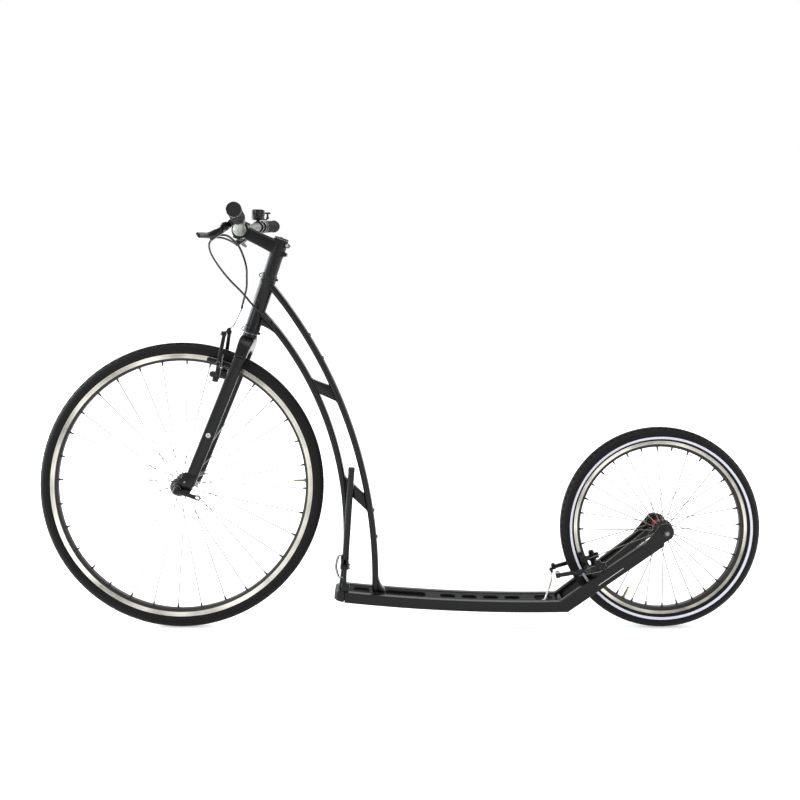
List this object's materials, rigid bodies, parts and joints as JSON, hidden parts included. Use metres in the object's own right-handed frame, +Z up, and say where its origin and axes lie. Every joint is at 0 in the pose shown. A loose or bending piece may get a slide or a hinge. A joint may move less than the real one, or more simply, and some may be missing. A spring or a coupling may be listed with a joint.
{
  "type": "kick bike",
  "caption": "Adult kick scooter: large spoked front wheel, small spoked rear wheel, low slotted deck, curved frame tubes, rim brakes, riser bar with bell, and a folding side stand.",
  "frame": {"origin": "on the ground at the middle of the overall length, in the middle plane of the wheels", "axes": "+X towards the rear wheel, -X the way it rides, -Y the rider's left, +Z up"},
  "size_m": [1.739, 0.6278, 1.0184],
  "materials": {
    "frame_paint": "satin black",
    "stem_paint": "satin black",
    "bar_alloy": "satin silver",
    "grip_rubber": "matt black",
    "brake_black": "gloss black",
    "tyre_rubber": "matt black",
    "rim_alloy": "machined silver track",
    "spoke_steel": "stainless",
    "valve_brass": "plain",
    "bolt_chrome": "polished",
    "axle_steel": "plated",
    "pad_rubber": "matt black",
    "cable_black": "black housing",
    "spring_steel": "blackened"
  },
  "bodies": {
    "frame": {"head_tube": "frame_paint", "front_arc_tube": "frame_paint", "rear_arc_tube": "frame_paint", "upper_bridge": "frame_paint", "lower_bridge": "frame_paint", "left_deck_rail": "frame_paint", "right_deck_rail": "frame_paint", "deck_plate": "frame_paint", "deck_nose": "frame_paint", "left_stay": "frame_paint", "right_stay": "frame_paint", "stay_bridge": "frame_paint", "upper_headset_cup": "brake_black", "lower_headset_cup": "brake_black", "kickstand_bracket": "frame_paint", "kickstand_pivot_bolt": "bolt_chrome", "kickstand_spring": "spring_steel", "rear_axle": "axle_steel", "rear_noodle": "axle_steel", "rear_brake_cable": "cable_black", "deck_brake_cable": "cable_black"},
    "steering": {"fork_crown": "frame_paint", "left_fork_blade": "frame_paint", "right_fork_blade": "frame_paint", "lower_spacer": "frame_paint", "upper_spacer": "frame_paint", "stem": "stem_paint", "stem_faceplate": "stem_paint", "stem_cap": "stem_paint", "handlebar": "bar_alloy", "left_grip": "grip_rubber", "right_grip": "grip_rubber", "left_lever_perch": "brake_black", "right_lever_perch": "brake_black", "bell": "brake_black", "front_brake_cable": "cable_black", "front_noodle": "axle_steel", "front_skewer": "brake_black"},
    "front_wheel": {"front_tyre": "tyre_rubber", "front_rim": "rim_alloy", "front_spoked_hub": "spoke_steel", "front_valve": "valve_brass"},
    "rear_wheel": {"rear_tyre": "tyre_rubber", "rear_rim": "rim_alloy", "rear_spoked_hub": "spoke_steel", "rear_valve": "valve_brass"},
    "left_lever": {"left_brake_lever": "brake_black"},
    "right_lever": {"right_brake_lever": "brake_black"},
    "front_left_arm": {"front_left_brake_arm": "brake_black", "front_left_brake_pad": "pad_rubber"},
    "front_right_arm": {"front_right_brake_arm": "brake_black", "front_right_brake_pad": "pad_rubber"},
    "rear_left_arm": {"rear_left_brake_arm": "brake_black", "rear_left_brake_pad": "pad_rubber"},
    "rear_right_arm": {"rear_right_brake_arm": "brake_black", "rear_right_brake_pad": "pad_rubber"},
    "kickstand": {"kickstand_leg": "frame_paint"},
    "quick_release": {"quick_release_lever": "brake_black"},
    "striker": {"bell_striker": "brake_black"}
  },
  "joints": [
    {"name": "steering_turn", "type": "hinge", "parent": "frame", "child": "steering", "pos_m": [-0.35791, 0, 0.71811], "axis": [0.3123, 0, 0.95], "range_deg": [-60, 60], "deforming": ["rear_brake_cable"]},
    {"name": "front_wheel_spin", "type": "hinge", "parent": "steering", "child": "front_wheel", "pos_m": [-0.5265, 0, 0.343], "axis": [0, 1, 0], "continuous": true},
    {"name": "rear_wheel_spin", "type": "hinge", "parent": "frame", "child": "rear_wheel", "pos_m": [0.6285, 0, 0.241], "axis": [0, 1, 0], "continuous": true},
    {"name": "left_lever_pull", "type": "hinge", "parent": "steering", "child": "left_lever", "pos_m": [-0.38882, -0.18124, 0.95676], "axis": [-0.5662, -0.0045, 0.8243], "range_deg": [0, 24], "stiffness_Nm_per_rad": 0.6, "springref_deg": -8.59},
    {"name": "right_lever_pull", "type": "hinge", "parent": "steering", "child": "right_lever", "pos_m": [-0.38882, 0.18124, 0.95676], "axis": [0.5662, -0.0045, -0.8243], "range_deg": [0, 24], "stiffness_Nm_per_rad": 0.6, "springref_deg": -8.59},
    {"name": "front_left_arm_close", "type": "hinge", "parent": "steering", "child": "front_left_arm", "pos_m": [-0.43404, -0.04, 0.61153], "axis": [-0.9866, 0, 0.1633], "range_deg": [0, 3]},
    {"name": "front_right_arm_close", "type": "hinge", "parent": "steering", "child": "front_right_arm", "pos_m": [-0.43404, 0.04, 0.61153], "axis": [0.9866, 0, -0.1633], "range_deg": [0, 3]},
    {"name": "rear_left_arm_close", "type": "hinge", "parent": "frame", "child": "rear_left_arm", "pos_m": [0.4744, -0.04, 0.154], "axis": [0.225, 0, -0.9744], "range_deg": [0, 3]},
    {"name": "rear_right_arm_close", "type": "hinge", "parent": "frame", "child": "rear_right_arm", "pos_m": [0.4744, 0.04, 0.154], "axis": [-0.225, 0, 0.9744], "range_deg": [0, 3]},
    {"name": "kickstand_fold", "type": "hinge", "parent": "frame", "child": "kickstand", "pos_m": [-0.131, -0.03, 0.153], "axis": [1, 0, 0], "range_deg": [0, 127], "deforming": ["kickstand_spring"]},
    {"name": "quick_release_open", "type": "hinge", "parent": "steering", "child": "quick_release", "pos_m": [-0.5265, -0.0701, 0.343], "axis": [-0.3123, 0, -0.95], "range_deg": [0, 150]},
    {"name": "bell_strike", "type": "hinge", "parent": "steering", "child": "striker", "pos_m": [-0.3433, 0.1616, 0.9939], "axis": [-0.7507, 0.6606, 0], "range_deg": [0, 25], "stiffness_Nm_per_rad": 0.005, "springref_deg": -5.73}
  ],
  "couplings": [
    {"joint": "front_left_arm_close", "follows": "left_lever_pull", "ratio": 0.125},
    {"joint": "front_right_arm_close", "follows": "left_lever_pull", "ratio": 0.125},
    {"joint": "rear_left_arm_close", "follows": "right_lever_pull", "ratio": 0.125},
    {"joint": "rear_right_arm_close", "follows": "right_lever_pull", "ratio": 0.125}
  ]
}
